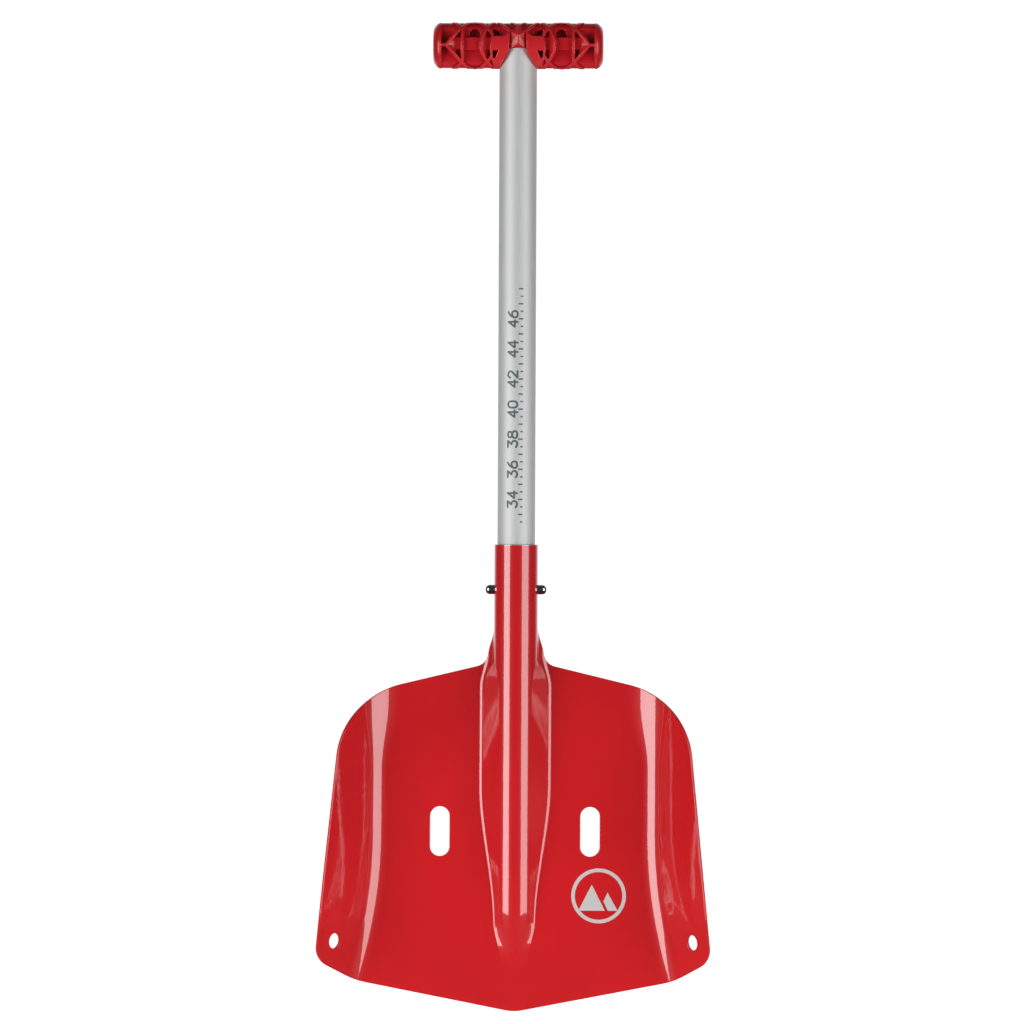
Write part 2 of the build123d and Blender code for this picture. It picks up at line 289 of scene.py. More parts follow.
def add_mesh(name, points, faces, materials, normals=None, marks=None):
    """Smooth object from points in millimetres. marks are the faces' material numbers."""
    data = bpy.data.meshes.new(name)
    data.from_pydata([tuple(Vector(p) * MM) for p in points], [], [tuple(f) for f in faces])
    data.validate()
    for material in materials:
        data.materials.append(material)
    data.polygons.foreach_set("use_smooth", [True] * len(data.polygons))
    if marks is not None:
        data.polygons.foreach_set("material_index", marks)
    if normals is not None:
        data.normals_split_custom_set_from_vertices([tuple(n) for n in normals])
    data.update()
    made = bpy.data.objects.new(name, data)
    bpy.context.scene.collection.objects.link(made)
    return made


def spun(profile, centre, axis, segments=96):
    """Surface of revolution: points, normals and faces. profile is (along, radius) pairs."""
    axis = Vector(axis)
    side = Vector((0, 0, 1)) if abs(axis.z) < 0.5 else Vector((1, 0, 0))
    other = axis.cross(side)
    points, normals, faces = [], [], []
    count = len(profile)
    for j in range(segments):
        a = 2 * math.pi * j / segments
        out = side * math.cos(a) + other * math.sin(a)
        for k, (along, radius) in enumerate(profile):
            before, after = profile[max(k - 1, 0)], profile[min(k + 1, count - 1)]
            run, rise = after[0] - before[0], after[1] - before[1]
            points.append(Vector(centre) + axis * along + out * radius)
            normals.append((out * run - axis * rise).normalized())
    for j in range(segments):
        i = (j + 1) % segments
        for k in range(count - 1):
            faces.append((j * count + k, i * count + k, i * count + k + 1, j * count + k + 1))
    return points, normals, faces


# ---------------------------------------------------------------- form of the pressed sheet


def panel_y(z):
    return AXIS_Y + SHOULDER_DEPTH - BLADE_LEAN * (SHOULDER_Z - z)


def ridge_height(z):
    full = panel_y(z) - (AXIS_Y - RIDGE_R) + RIDGE_FORWARD * eased((205 - z) / 80)
    return full * eased((z - RIDGE_END_Z) / RIDGE_NOSE)


def ridge_runs(z):
    """Half of the ridge's section: its foot, and (length, curvature) runs from the crest."""
    height = ridge_height(z)
    upright = eased((z - FLANK_Z) / (FLANK_TOP - FLANK_Z))
    foot = RIDGE_HALF - (RIDGE_HALF - RIDGE_LOW_HALF) * eased((150 - z) / 95)
    foot -= (RIDGE_LOW_HALF - RIDGE_NOSE_HALF) * eased((60 - z) / 34)
    fillet_r = RIDGE_LOW_FILLET + (RIDGE_FILLET - RIDGE_LOW_FILLET) * eased((z - 50) / 80)
    foot += (height - foot) * upright
    fillet_r += (height - RIDGE_R - fillet_r) * upright
    reach = RIDGE_R + fillet_r
    flank = math.sqrt(max(foot**2 + height**2 - 2 * height * reach, 0.0))
    turn = math.atan2(height - reach, foot) - math.atan2(-reach, flank)
    return foot, ((RIDGE_R * turn, 1 / RIDGE_R), (flank, 0.0), (fillet_r * turn, -1 / fillet_r))


def bend_x(z):
    flare = WING_FLARE * max(WING_FLARE_Z - z, 0.0) ** 2
    return WING_BEND_X + flare - 3 * eased((z - SHOULDER_BEND_Z) / SHOULDER_BEND_RISE)


def bend_r(z):
    return WING_BEND_R * (1 + eased((z - SHOULDER_BEND_Z) / SHOULDER_BEND_RISE))


@lru_cache(maxsize=None)
def section(z):
    """Half a section at height z: the crest's depth, and runs of (length, curvature) outwards."""
    foot, ridge = ridge_runs(z)
    crest = panel_y(z) - ridge_height(z)
    if z > FLARE_TOP:
        closed = eased((z - FLARE_TOP) / FLARE_LENGTH)
        curl = closed / RIDGE_R + (1 - closed) * ridge[2][1]
        return crest, (ridge[0], (90.0, curl))
    radius = bend_r(z)
    flat = bend_x(z) - radius * math.sin(WING_ANGLE) / 2 - foot
    return crest, ridge + ((flat, 0.0), (radius * WING_ANGLE, -1 / radius), (90.0, 0.0))


def middle(s, z):
    """Point of the sheet's middle surface, s along the section from the crest."""
    crest, runs = section(z)
    x, y, heading, left = 0.0, crest, 0.0, abs(s)
    for length, curvature in runs:
        step = min(left, length)
        if curvature:
            after = heading + curvature * step
            x += (math.sin(after) - math.sin(heading)) / curvature
            y += (math.cos(heading) - math.cos(after)) / curvature
            heading = after
        else:
            x += math.cos(heading) * step
            y += math.sin(heading) * step
        left -= step
        if left <= 0:
            break
    return Vector((math.copysign(x, s), y, z))


def facing(s, z):
    """Unit normal of the sheet, towards the hollow of the scoop."""
    e = 0.02
    across = middle(s + e, z) - middle(s - e, z)
    up = middle(s, z + e) - middle(s, z - e)
    return across.cross(up).normalized()


def sheet_front(s, z):
    n = facing(s, z)
    return middle(s, z) + n * (SHEET / 2), n, -n


def sheet_back(s, z):
    n = facing(s, z)
    return middle(s, z) - n * (SHEET / 2), -n, n


def run_to(x, z):
    """Distance along the section at height z to where it is x from the middle."""
    low, high = 0.0, 190.0
    for _ in range(40):
        half = (low + high) / 2
        if middle(half, z).x < abs(x):
            low = half
        else:
            high = half
    return math.copysign(half, x)


def rounded(corners, radii, step=1.5, gap=3.0):
    """Open polyline with its inner corners rounded, as points no further apart than gap."""
    corners = [Vector(c) for c in corners]
    path = [corners[0]]
    for before, corner, after, radius in zip(corners, corners[1:], corners[2:], radii):
        a, b = (before - corner).normalized(), (after - corner).normalized()
        half = a.angle(b) / 2
        centre = corner + (a + b).normalized() * (radius / math.sin(half))
        start, end = corner + a * (radius / math.tan(half)), corner + b * (radius / math.tan(half))
        first, last = start - centre, end - centre
        sweep = math.atan2(first.x * last.y - first.y * last.x, first.dot(last))
        count = max(int(abs(sweep) * radius / step), 3)
        for k in range(count + 1):
            t = sweep * k / count
            path.append(centre + Matrix.Rotation(t, 2) @ first)
    path.append(corners[-1])
    dense = []
    for a, b in zip(path, path[1:]):
        count = max(math.ceil((b - a).length / gap), 1)
        dense += [a + (b - a) * k / count for k in range(count)]
    return [tuple(p) for p in dense] + [tuple(path[-1])]


def arc(u, v, radius, angles):
    return [(u + radius * math.cos(a), v + radius * math.sin(a)) for a in angles]


def ring(u, v, radius, count=40):
    return arc(u, v, radius, [2 * math.pi * k / count for k in range(count)])


def blade_outline():
    """Edge of the flat blank, as (s, z), from the left neck round the tip and over the socket."""
    half = [NECK, ELBOW, SHOULDER, CORNER, CREASE]
    radii = [ELBOW_R, SHOULDER_R, CORNER_R, CREASE_R]
    corners = [(-x, z) for x, z in half] + [(0, TIP_Z)] + half[::-1]
    line = rounded(corners, radii + [TIP_R] + radii[::-1])
    skirt = [(run_to(x, z), z) for x, z in line if z < FLARE_TOP - 2]
    neck_s, neck_z = skirt[-1]
    throat = RIDGE_R * (math.pi - math.asin(OPENING_HALF / RIDGE_R))
    rise = []
    for t in (k / 8 for k in range(1, 8)):
        rise.append((neck_s + (throat - neck_s) * eased(t) ** 0.9, neck_z + (THROAT_Z - neck_z) * t))
    for t in (math.pi / 2 * k / 24 for k in range(24)):
        x = OPENING_HALF * math.cos(t)
        rise.append((RIDGE_R * (math.pi - math.asin(x / RIDGE_R)), THROAT_Z + OPENING_RISE * math.sin(t)))
    seam, seam_foot = RIDGE_R * math.pi - SEAM, THROAT_Z + OPENING_RISE
    rise = [p for p in rise if p[0] < seam - 0.3]
    rise += [(seam, seam_foot + (SOCKET_TOP - seam_foot) * k / 13) for k in range(14)]
    mouth = [(seam - 2 * seam * k / 64, SOCKET_TOP) for k in range(1, 64)]
    return skirt + rise + mouth + [(-s, z) for s, z in reversed(rise)]


def slot(side):
    """Long slot in the panel, which takes a strap."""
    ends = arc(SLOT_X * side, SLOT_HIGH, SLOT_R, np.linspace(0, math.pi, 17))
    ends += arc(SLOT_X * side, SLOT_LOW, SLOT_R, np.linspace(math.pi, 2 * math.pi, 17))
    dense = []
    for a, b in zip(ends, ends[1:] + ends[:1]):
        dense += between(a, b, 2.5)
    return [(run_to(x, z), z) for x, z in dense]


def corner_hole(side):
    """Round hole square to the wing, its one centre found again along the section at each height."""
    centre = middle(run_to(HOLE_X, HOLE_Z), HOLE_Z)
    along = Vector((math.cos(WING_ANGLE), -math.sin(WING_ANGLE), 0))
    on_wing = 150.0
    loop = []
    for du, dz in ring(0, 0, HOLE_R, 36):
        start = middle(on_wing, HOLE_Z + dz)
        loop.append((side * (on_wing + (centre - start).dot(along) + du), HOLE_Z + dz))
    return loop


def button_hole(side):
    """Hole bored sideways through the socket's round wall."""
    circle = ring(0, 0, BUTTON_HOLE_R, 32)
    quarter = math.pi / 2
    return [(side * RIDGE_R * (quarter + math.asin(dy / RIDGE_R)), BUTTON_Z + dz) for dy, dz in circle]


def blade_holes():
    return [make(side) for make in (slot, corner_hole, button_hole) for side in (1, -1)]


def blade_grid():
    """Inner points, close together across the ridge, the bends and the nose."""
    heights, z = [], -2.0
    while z < SOCKET_TOP:
        heights.append(z)
        at_nose, at_neck = 24 < z < 80, 212 < z < 274
        z += 1.4 if at_nose or at_neck else 2.8
    points = []
    for z in heights:
        s = 0.0
        line = [0.0]
        for length, curvature in section(z)[1]:
            spacing = 1.2 if curvature else 5.0
            length = min(length, 60.0)
            count = max(round(length / spacing), 1)
            line += [s + length * (k + 1) / count for k in range(count)]
            s += length
        points += [(v, z) for v in line] + [(-v, z) for v in line[1:]]
    return np.array(points)


# ---------------------------------------------------------------- materials


def material(name):
    made = bpy.data.materials.new(name)
    made.use_nodes = True
    nodes, links = made.node_tree.nodes, made.node_tree.links
    shader = nodes["Principled BSDF"]
    return made, nodes, links, shader


def put(nodes, kind, **inputs):
    node = nodes.new(kind)
    for key, value in inputs.items():
        node.inputs[key.replace("_", " ")].default_value = value
    return node


def noise(nodes, links, scale, detail=3.0, stretch=(1, 1, 1)):
    place = nodes.new("ShaderNodeTexCoord")
    mapping = nodes.new("ShaderNodeMapping")
    mapping.inputs["Scale"].default_value = stretch
    made = put(nodes, "ShaderNodeTexNoise", Scale=scale, Detail=detail)
    links.new(place.outputs["Object"], mapping.inputs["Vector"])
    links.new(mapping.outputs["Vector"], made.inputs["Vector"])
    return made


def spread(nodes, links, source, low, high, start=0.3, end=0.7):
    made = nodes.new("ShaderNodeMapRange")
    made.inputs["From Min"].default_value = start
    made.inputs["From Max"].default_value = end
    made.inputs["To Min"].default_value = low
    made.inputs["To Max"].default_value = high
    links.new(source, made.inputs["Value"])
    return made.outputs["Result"]


def tint(nodes, links, source, dark, light, start=0.3, end=0.7):
    ramp = nodes.new("ShaderNodeValToRGB")
    ramp.color_ramp.elements[0].position = start
    ramp.color_ramp.elements[0].color = (*dark, 1)
    ramp.color_ramp.elements[1].position = end
    ramp.color_ramp.elements[1].color = (*light, 1)
    links.new(source, ramp.inputs["Fac"])
    return ramp.outputs["Color"]


def mottle(nodes, links, shader, source, dark, light):
    """Base colour that wanders between two shades with the noise."""
    links.new(tint(nodes, links, source.outputs["Fac"], dark, light), shader.inputs["Base Color"])


def roughen(nodes, links, shader, source, low, high):
    """Roughness that wanders between two values with the noise."""
    links.new(spread(nodes, links, source.outputs["Fac"], low, high), shader.inputs["Roughness"])


def bump(nodes, links, shader, source, strength, distance):
    made = nodes.new("ShaderNodeBump")
    made.inputs["Strength"].default_value = strength
    made.inputs["Distance"].default_value = distance
    links.new(source, made.inputs["Height"])
    links.new(made.outputs["Normal"], shader.inputs["Normal"])
    return made


def paint():
    """Glossy red powder coat under a clear coat, with a faint orange peel."""
    made, nodes, links, shader = material("blade_paint")
    clouds = noise(nodes, links, 14, 2)
    mottle(nodes, links, shader, clouds, (0.54, 0.0055, 0.0095), (0.59, 0.007, 0.0115))
    grain = noise(nodes, links, 900, 2)
    roughen(nodes, links, shader, grain, 0.30, 0.38)
    shader.inputs["Specular IOR Level"].default_value = 0.3
    shader.inputs["Coat Weight"].default_value = 1.0
    shader.inputs["Coat Roughness"].default_value = 0.035
    shader.inputs["Coat IOR"].default_value = 1.7
    peel = noise(nodes, links, 260, 1.5)
    relief = bump(nodes, links, shader, peel.outputs["Fac"], 0.05, 0.0004)
    links.new(relief.outputs["Normal"], shader.inputs["Coat Normal"])
    return made


def bare_metal():
    """Cut edge of the sheet."""
    made, nodes, links, shader = material("bare_aluminium")
    grain = noise(nodes, links, 1500, 3)
    mottle(nodes, links, shader, grain, (0.72, 0.70, 0.69), (0.9, 0.89, 0.88))
    roughen(nodes, links, shader, grain, 0.25, 0.4)
    shader.inputs["Metallic"].default_value = 1.0
    return made


def anodised():
    """Satin silver anodised tube, drawn lengthways."""
    made, nodes, links, shader = material("shaft_aluminium")
    drawn = noise(nodes, links, 60, 4, (30, 30, 1))
    mottle(nodes, links, shader, drawn, (0.60, 0.61, 0.61), (0.67, 0.68, 0.67))
    roughen(nodes, links, shader, drawn, 0.58, 0.66)
    shader.inputs["Metallic"].default_value = 0.5
    bump(nodes, links, shader, drawn.outputs["Fac"], 0.06, 0.0002)
    return made


def steel(name, rough=(0.08, 0.14)):
    """Bare steel, polished unless rough says otherwise."""
    made, nodes, links, shader = material(name)
    grain = noise(nodes, links, 1200, 3)
    mottle(nodes, links, shader, grain, (0.55, 0.55, 0.56), (0.66, 0.66, 0.67))
    roughen(nodes, links, shader, grain, *rough)
    shader.inputs["Metallic"].default_value = 1.0
    return made


def from_grip_axis(nodes, links):
    """Distance from the grip's axis, in metres."""
    place = nodes.new("ShaderNodeTexCoord")
    split = nodes.new("ShaderNodeSeparateXYZ")
    across, up = nodes.new("ShaderNodeMath"), nodes.new("ShaderNodeMath")
    across.operation = up.operation = "SUBTRACT"
    across.inputs[1].default_value, up.inputs[1].default_value = AXIS_Y * MM, GRIP_Z * MM
    links.new(place.outputs["Object"], split.inputs["Vector"])
    links.new(split.outputs["Y"], across.inputs[0])
    links.new(split.outputs["Z"], up.inputs[0])
    flat = nodes.new("ShaderNodeCombineXYZ")
    links.new(across.outputs[0], flat.inputs["X"])
    links.new(up.outputs[0], flat.inputs["Y"])
    reach = nodes.new("ShaderNodeVectorMath")
    reach.operation = "LENGTH"
    links.new(flat.outputs[0], reach.inputs[0])
    return reach.outputs["Value"]


def moulded(name, dark, light, rough=(0.30, 0.42), painted_highlight=None):
    """Moulded plastic with a fine spark-eroded grain. The colour given last, if any, is a painted highlight:
    a lighter colour mixed onto the grip's outer faces, near the barrel's surface.
    """
    made, nodes, links, shader = material(name)
    clouds = noise(nodes, links, 40, 3)
    colour = tint(nodes, links, clouds.outputs["Fac"], dark, light)
    grain = noise(nodes, links, 1800, 2)
    roughen(nodes, links, shader, grain, *rough)
    bump(nodes, links, shader, grain.outputs["Fac"], 0.12, 0.0002)
    if painted_highlight:
        # Painted highlight: the colour turns lighter towards the barrel's outer surface, on the ribs'
        # fronts.
        reach = from_grip_axis(nodes, links)
        highlighted = nodes.new("ShaderNodeMix")
        highlighted.data_type = "RGBA"
        amount = spread(nodes, links, reach, 0.0, PAINTED_HIGHLIGHT_MOST, PAINTED_HIGHLIGHT_FROM * MM, GRIP_R * MM)
        links.new(amount, highlighted.inputs["Factor"])
        links.new(colour, highlighted.inputs[6])
        highlighted.inputs[7].default_value = (*painted_highlight, 1)
        colour = highlighted.outputs[2]
    links.new(colour, shader.inputs["Base Color"])
    return made


def ink(name, colour, rough, metal=0.0):
    """Printed ink."""
    made, nodes, links, shader = material(name)
    grain = noise(nodes, links, 1400, 2)
    mottle(nodes, links, shader, grain, tuple(0.9 * c for c in colour), colour)
    roughen(nodes, links, shader, grain, rough, rough + 0.1)
    shader.inputs["Metallic"].default_value = metal
    return made


PAINT, BARE, ANODISED = paint(), bare_metal(), anodised()
STEEL, SPRING = steel("steel"), steel("spring_steel", (0.25, 0.35))
# The grip's plastic carries a painted highlight, a lighter red on its outer faces.
RED_PLASTIC = moulded(
    "grip_plastic", (0.50, 0.008, 0.014), (0.58, 0.010, 0.018), rough=(0.22, 0.30), painted_highlight=(0.66, 0.022, 0.028)
)
BLACK_PLASTIC = moulded("plug_plastic", (0.012, 0.012, 0.013), (0.02, 0.02, 0.021))
DARK_INK = ink("scale_ink", (0.10, 0.12, 0.13), 0.45)
SILVER_INK = ink("mark_ink", (0.78, 0.77, 0.76), 0.35, 0.4)

# ---------------------------------------------------------------- blade

blank = [turned(blade_outline())] + [turned(hole, False) for hole in blade_holes()]
points, normals, faces, rims = slab(blank, blade_grid(), sheet_front, sheet_back, EDGE_R)
marks = [0] * len(faces)
marks += [1 if min(points[i].z for i in face) > SOCKET_TOP - BARE_RIM else 0 for face in rims]
blade = add_mesh("pressed_blade", points, faces + rims, [PAINT, BARE], normals, marks)
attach(blade, "blade")
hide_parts("blade")

# ---------------------------------------------------------------- grip
# Shapes are drawn as (x, height above the grip's axis) and run through the grip along Y.

RIB = 2.1
SILHOUETTE = 15.38
ROUNDING_FROM, ROUNDING = 50.0, 0.11


def barrel(x, w):
    """Half depth of the barrel at (x, w)."""
    radius = GRIP_R - ROUNDING * max(abs(x) - ROUNDING_FROM, 0.0) ** 2
    return math.sqrt(max(radius**2 - w**2, 0.6))


def faces_at(depth):
    """Front and back surfaces this deep from the grip's axis, depth being a function of (x, w)."""
    def at(side):
        def surface(x, w):
            e = 0.05
            fall_x = (depth(x + e, w) - depth(x - e, w)) / (2 * e)
            fall_w = (depth(x, w + e) - depth(x, w - e)) / (2 * e)
            n = Vector((-fall_x, side, -fall_w)).normalized()
            return Vector((x, AXIS_Y + side * depth(x, w), GRIP_Z + w)), n, Vector((0, -side, 0))
        return surface
    return at(-1), at(1)


def under(limit, below):
    """Depth of a face that is flat at the limit and stays this far under the barrel."""
    return lambda x, w: min(limit, barrel(x, w) - below)


def cells(x0, x1, w0, w1, step=0.9):
    """Grid points, their heights closer together towards the barrel's silhouette."""
    low, high = (math.asin(min(max(w / GRIP_R, -0.999), 0.999)) for w in (w0, w1))
    angles = np.linspace(low, high, 36)
    return np.array([(x, GRIP_R * math.sin(a)) for x in np.arange(x0, x1, step) for a in angles])


def rectangle(x0, x1, w0, w1):
    return [(x0, w0), (x1, w0), (x1, w1), (x0, w1)]


def mirrored(line, side, up=1):
    return [(side * x, up * w) for x, w in line]


grip_points, grip_normals, grip_faces = [], [], []


def gather(made):
    """Add a made shape's points, normals and faces to the grip."""
    offset = len(grip_points)
    grip_points.extend(made[0])
    grip_normals.extend(made[1])
    for group in made[2:]:
        grip_faces.extend(tuple(i + offset for i in face) for face in group)


def block(outlines, cuts, depth, edge_r, step=0.9):
    """The outlines together, less the cuts, run through the grip between its two faces."""
    loops = union(outlines, cuts)
    ends = np.concatenate(loops)
    inner = cells(ends[:, 0].min(), ends[:, 0].max(), ends[:, 1].min(), ends[:, 1].max(), step)
    gather(slab(loops, inner, *faces_at(depth), edge_r))


# Middle lines of the ribs on the right and above the axis. Several of them meet in each knot.
OUTER_KNOT, INNER_KNOT = (37.5, 11.3), (20.3, 11.3)
ARROW = [(47.6, 0), (43.0, 5.6), OUTER_KNOT]
ARCH = [(33.2, 14.6), (28.9, 15.9), (24.6, 14.6), INNER_KNOT, (16.6, 6.4)]
OUTER_BOW = [(37.0, 0), (37.1, 4), OUTER_KNOT, (43.7, 16.4)]
INNER_BOW = [(24.7, 0), (23.9, 5), INNER_KNOT, (15.4, 16.4)]
BRACE, CROSSING = [(13.6, 15.9), (9.3, 12.4), (4.4, 8.8)], [(5.4, 16.4), (0, 12.2), (-4.6, 8.2)]
END_TIE = [(46.5, 0), (52.6, 0)]
# Outline of the hub
HUB = [(-17.4, 6.0), (-9.6, 6.2), (-4.9, 9.6), (4.9, 9.6), (9.6, 6.2), (17.4, 6.0)]
HUB += [(18.4, 0), (18.6, -5), (15.6, -17), (-15.6, -17), (-18.6, -5), (-18.4, 0)]
# Openings: for the tube below, for the nose, and pockets on the right
NOTCH = [(-4.8, -1.7), (4.8, -1.7), (13.4, -17.5), (-13.4, -17.5)]
NOSE_HOLE = [(-5.8, -2.2), (5.8, -2.2), (5.0, 8.7), (0, 11.4), (-5.0, 8.7)]
LOW_POCKET = [(13.0, -3.8), (16.8, -3.8), (16.4, -8.6), (15.2, -8.6)]
HUB_POCKET = [(12.0, 6.4), (16.8, 6.4), (16.4, 10.4), (12.6, 9.4)]
BAR_POCKET = [(24.9, 5.4), (32.6, 5.4), (32.0, 8.6), (29.8, 10.6), (27.2, 10.4), (25.2, 8.4)]

ribs, pockets = [], []
for side in (1, -1):
    for up in (1, -1):
        for line in (ARROW + ARCH, OUTER_BOW, INNER_BOW):
            ribs.append(ribbon(through(mirrored(line, side, up), 6), RIB))
    ribs.append(ribbon(through(mirrored(BRACE, side), 6), RIB))
    ribs.append(ribbon(mirrored(CROSSING, side), 0.85 * RIB))
    ribs.append(ribbon(mirrored(END_TIE, side), RIB))
    pockets.append(mirrored(LOW_POCKET, side))
trims = [rectangle(-60, 60, SILHOUETTE, 22), rectangle(-60, 60, -22, -SILHOUETTE)]
block(ribs + [HUB], [NOTCH, NOSE_HOLE] + trims + pockets, barrel, 0.75)

# Web and core bar between the ribs, with deep pockets above the bar and beside the hub
WEB_REACH = 14.9
WEB, BAR, POCKET_FLOOR = under(8.6, 2.0), under(12.4, 0.9), under(3.0, 2.0)
for side in (1, -1):
    deep = [mirrored(hole, side) for hole in (HUB_POCKET, BAR_POCKET, LOW_POCKET)]
    block([rectangle(side * 11, side * 52, -WEB_REACH, WEB_REACH)], [NOTCH] + deep, WEB, 0.3, 2.0)
    block([rectangle(side * 11, side * 33, -12, 12)], [NOTCH], POCKET_FLOOR, 0.3, 3.0)
    block([rectangle(side * 15, side * 46, -3.2, 5.2)], [], BAR, 0.8, 2.0)
block([rectangle(-12, 12, 5.4, WEB_REACH)], [], WEB, 0.3, 2.0)


def back_plate():
    """Plate in the back of the hub, opposite the nose, with the hole that shows the pin's end."""
    inner_depth, grown = 12.6, 1.05

    def inside_face(x, w):
        return Vector((x, AXIS_Y + inner_depth, GRIP_Z + w)), Vector((0, -1, 0)), Vector((0, 1, 0))
    _, back_face = faces_at(under(15.6, 0.5))
    pin_hole = ring(0, 1.5, 2.05, 28)
    loops = union([[(grown * x, grown * w) for x, w in NOSE_HOLE]], [pin_hole])
    gather(slab(loops, cells(-6, 6, -3, 12), inside_face, back_face, 0.25))


back_plate()


def sloping(side, rim, inner, drop=3.4):
    """Face that falls from a rib's side inwards. rim and inner give its ends across at height w."""
    heights = np.linspace(-10.4, 10.4, 27)
    outline = [(side * rim(w), w) for w in heights]
    outline += [(side * min(inner(w), rim(w) - 0.4), w) for w in heights[::-1]]

    def depth(x, w):
        part = (rim(w) - abs(x)) / max(rim(w) - inner(w), 0.6)
        return barrel(x, w) - 0.35 - drop * min(max(part, 0.0), 1.0)
    block([outline], [], depth, 0.2)


def bowed(middle_x, end_x, power):
    """Distance across as a function of height, from middle_x on the axis to end_x at the knots."""
    return lambda w: middle_x + (end_x - middle_x) * (abs(w) / OUTER_KNOT[1]) ** power


for side in (1, -1):
    sloping(side, bowed(47.2, 37.5, 1.1), bowed(41.2, 37.4, 2.0))
    sloping(side, bowed(24.6, 20.3, 1.8), bowed(20.4, 19.6, 2.0))

# End band and cap as (distance from the middle, radius), each stretch cut in three
BAND = [(50.9, 12.0), (50.9, 14.7), (51.1, 15.15), (51.6, 15.3), (52.4, 15.15), (53.2, 14.75), (54.0, 14.15)]
BAND += [(54.8, 13.35), (55.5, 12.4), (56.1, 11.3), (56.4, 10.4), (56.5, 9.6), (56.3, 8.9), (55.8, 8.5)]
BAND += [(55.6, 7.8), (55.6, 0.02)]
band = []
for a, b in zip(np.array(BAND), np.array(BAND[1:])):
    band += [tuple(a + (b - a) * k / 3) for k in range(3)]
band.append(BAND[-1])
for side in (1, -1):
    gather(spun(band, (0, AXIS_Y, GRIP_Z), (side, 0, 0)))

grip = add_mesh("ribbed_grip", grip_points, grip_faces, [RED_PLASTIC], grip_normals)
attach(grip, "shaft")
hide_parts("grip")

# Faceted nose on the front of the hub, as (x, height, depth in front of the axis)
NOSE_ROOT = 6.0
nose = [(0, 11.2, 12.4), (-5.7, -0.2, 13.0), (5.7, -0.2, 13.0), (0.4, 6.6, 15.5), (0.4, 1.1, 15.6)]
nose += [(-4.7, -2.1, 13.6), (4.7, -2.1, 13.6), (-4.9, 8.6, 12.2), (4.9, 8.6, 12.2)]
nose_faces = [(0, 3, 7), (7, 3, 1), (3, 4, 1), (0, 8, 3), (8, 2, 3), (3, 2, 4)]
nose_faces += [(4, 5, 1), (4, 2, 6), (4, 6, 5)]
rim, root = [0, 7, 1, 5, 6, 2, 8], range(len(nose), len(nose) + 7)
nose += [(nose[k][0], nose[k][1], NOSE_ROOT) for k in rim]
for k in range(7):
    j = (k + 1) % 7
    nose_faces.append((rim[k], rim[j], root[j], root[k]))
nose_faces.append(tuple(root))
nose = [(x, AXIS_Y - d, GRIP_Z + w) for x, w, d in nose]
facets = add_mesh("grip_nose", nose, nose_faces, [RED_PLASTIC])
facets.data.polygons.foreach_set("use_smooth", [False] * len(facets.data.polygons))
soften = facets.modifiers.new("soften", "BEVEL")
soften.width, soften.segments = 0.0005, 3
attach(facets, "shaft")

# ---------------------------------------------------------------- prints
# Thin films of ink, with no piece of their own in the CAD model.

FILM = 0.04


def film(name, outlines, cuts, surface, finish, body):
    """Closed film of ink over the outlines less the cuts, surface giving a point and its normal."""
    def face(side):
        def at(u, v):
            place, n = surface(u, v)
            return place + n * (FILM * side), n * side, -n * side
        return at
    loops = union(outlines, cuts, 1.2, 0.05)
    made = slab(loops, [], face(1), face(-1), 0.015, 1)
    piece = add_mesh(name, made[0], made[2] + made[3], [finish], made[1])
    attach(piece, body)
    return piece


# Scale of the shaft's length in centimetres above the ground, which reads up the shaft
SCALE_FROM, SCALE_TO = 325, 480
TICK_EVERY, TICK_X, TICK_LONG, TICK_SHORT, TICK_WIDTH = 5, 4.4, 3.0, 1.7, 1.0
FIRST_NUMBER, NUMBER_EVERY, NUMBER_FOOT = SCALE_FROM + 15, 20, 0.7
DIGIT, DIGIT_WIDTH, DIGIT_PITCH, NUMBER_HALF, STROKE = 6.4, 0.68 * 6.4, 6.2, 5.3, 1.3
# Strokes of the digits that the scale uses, in a box one wide and one high
DIGITS = {
    "0": [
        [(0.5, 1), (0.12, 0.88), (0, 0.5), (0.12, 0.12), (0.5, 0)]
        + [(0.88, 0.12), (1, 0.5), (0.88, 0.88), (0.5, 1)],
    ],
    "2": [
        [(0, 0.78), (0.2, 0.97), (0.55, 1), (0.9, 0.85), (0.9, 0.6), (0.5, 0.33), (0, 0)],
        [(0, 0), (1, 0)],
    ],
    "3": [
        [(0, 1), (0.95, 1)],
        [(0.95, 1), (0.45, 0.6)],
        [(0.45, 0.6), (0.85, 0.5), (0.97, 0.28), (0.75, 0.04), (0.35, 0), (0, 0.14)],
    ],
    "4": [
        [(0.75, 0), (0.75, 1)],
        [(0.75, 1), (0, 0.3)],
        [(0, 0.3), (1, 0.3)],
    ],
    "6": [
        [(0.8, 1), (0.3, 0.75), (0, 0.32), (0.15, 0.05), (0.5, 0)]
        + [(0.85, 0.06), (1, 0.3), (0.85, 0.54), (0.5, 0.6), (0.1, 0.48)],
    ],
    "8": [
        [(0.5, 0.55), (0.12, 0.64), (0.1, 0.9), (0.5, 1), (0.9, 0.9), (0.88, 0.64), (0.5, 0.55)],
        [(0.5, 0.55), (0.02, 0.4), (0.05, 0.08), (0.5, 0), (0.95, 0.08), (0.98, 0.4), (0.5, 0.55)],
    ],
}


def on_shaft(x, z):
    """Point and normal on the tube, x round it from the front and z above the ground."""
    angle = x / SHAFT_R
    n = Vector((math.sin(angle), -math.cos(angle), 0))
    return Vector((0, AXIS_Y, z)) + n * SHAFT_R, n


def tick(z):
    length = TICK_LONG if z % 10 == 0 else TICK_SHORT
    return ribbon([(TICK_X, z), (TICK_X - length, z)], TICK_WIDTH)


